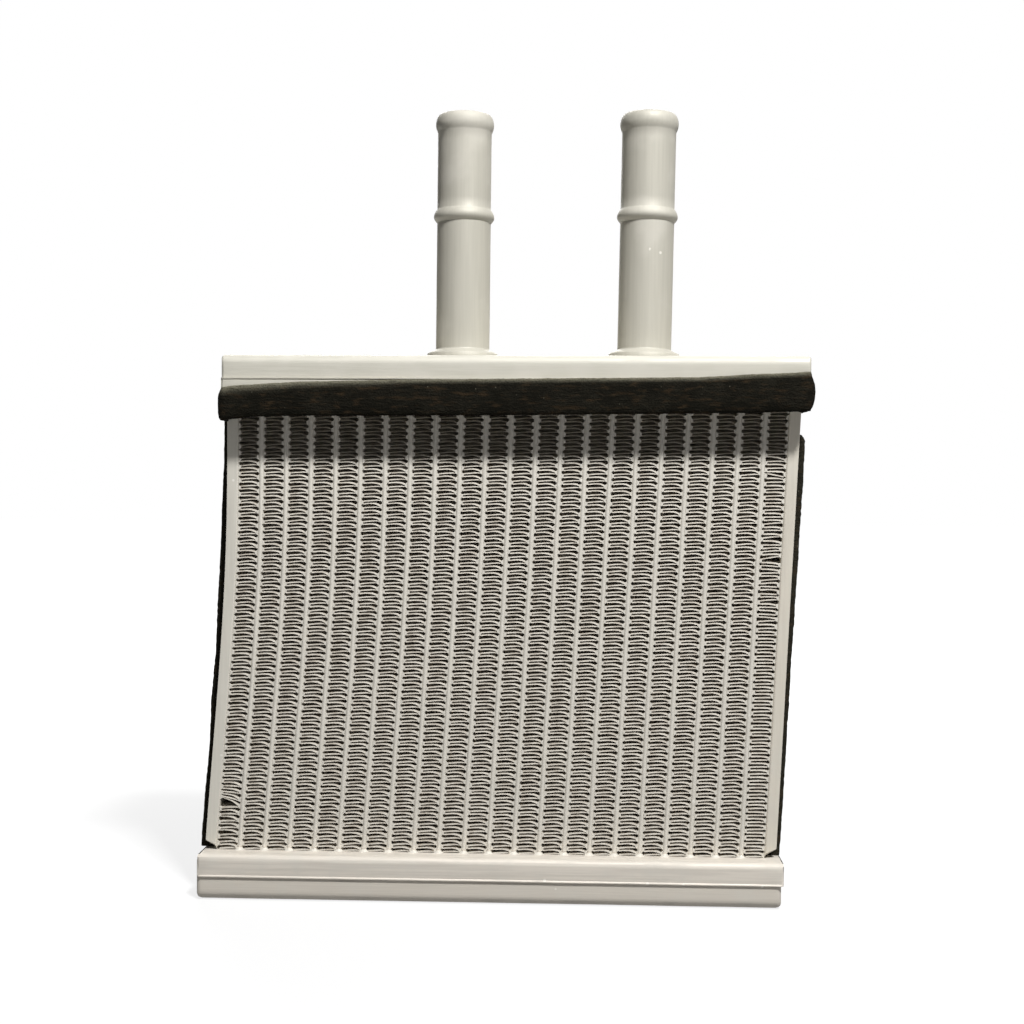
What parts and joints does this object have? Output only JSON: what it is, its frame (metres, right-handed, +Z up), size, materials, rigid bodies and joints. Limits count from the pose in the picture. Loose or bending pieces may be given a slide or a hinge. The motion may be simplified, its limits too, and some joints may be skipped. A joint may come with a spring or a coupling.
{
  "type": "heater core",
  "caption": "Brazed aluminium heater core: flat tubes and corrugated fins between two pressed tanks, with two hose pipes and black foam seals.",
  "frame": {"origin": "centre of the lower tank's flat underside", "axes": "+Z up along the hose pipes, -Y towards the front face, +X to the right seen from the front"},
  "size_m": [0.1734, 0.0436, 0.2255],
  "materials": {
    "tank_aluminium": "satin, faintly brushed, with brazing flux haze",
    "pipe_aluminium": "satin, drawn tube",
    "tube_aluminium": "matt after brazing",
    "side_plate_aluminium": "satin",
    "fin_aluminium": "matt thin sheet",
    "black_foam": "matt, open-cell foam"
  },
  "bodies": {
    "root": {"lower_tank": "tank_aluminium", "lower_header": "tank_aluminium", "upper_header": "tank_aluminium", "upper_tank": "tank_aluminium", "baffle": "tank_aluminium", "inlet_pipe": "pipe_aluminium", "outlet_pipe": "pipe_aluminium", "side_plate_left": "side_plate_aluminium", "side_plate_right": "side_plate_aluminium", "seal_strip_left": "black_foam", "seal_strip_right": "black_foam", "seal_band": "black_foam", "tube_01": "tube_aluminium", "tube_02": "tube_aluminium", "tube_03": "tube_aluminium", "tube_04": "tube_aluminium", "tube_05": "tube_aluminium", "tube_06": "tube_aluminium", "tube_07": "tube_aluminium", "tube_08": "tube_aluminium", "tube_09": "tube_aluminium", "tube_10": "tube_aluminium", "tube_11": "tube_aluminium", "tube_12": "tube_aluminium", "tube_13": "tube_aluminium", "tube_14": "tube_aluminium", "tube_15": "tube_aluminium", "tube_16": "tube_aluminium", "tube_17": "tube_aluminium", "tube_18": "tube_aluminium", "tube_19": "tube_aluminium", "tube_20": "tube_aluminium", "tube_21": "tube_aluminium", "fin_01": "fin_aluminium", "fin_02": "fin_aluminium", "fin_03": "fin_aluminium", "fin_04": "fin_aluminium", "fin_05": "fin_aluminium", "fin_06": "fin_aluminium", "fin_07": "fin_aluminium", "fin_08": "fin_aluminium", "fin_09": "fin_aluminium", "fin_10": "fin_aluminium", "fin_11": "fin_aluminium", "fin_12": "fin_aluminium", "fin_13": "fin_aluminium", "fin_14": "fin_aluminium", "fin_15": "fin_aluminium", "fin_16": "fin_aluminium", "fin_17": "fin_aluminium", "fin_18": "fin_aluminium", "fin_19": "fin_aluminium", "fin_20": "fin_aluminium", "fin_21": "fin_aluminium", "fin_22": "fin_aluminium"}
  },
  "joints": []
}
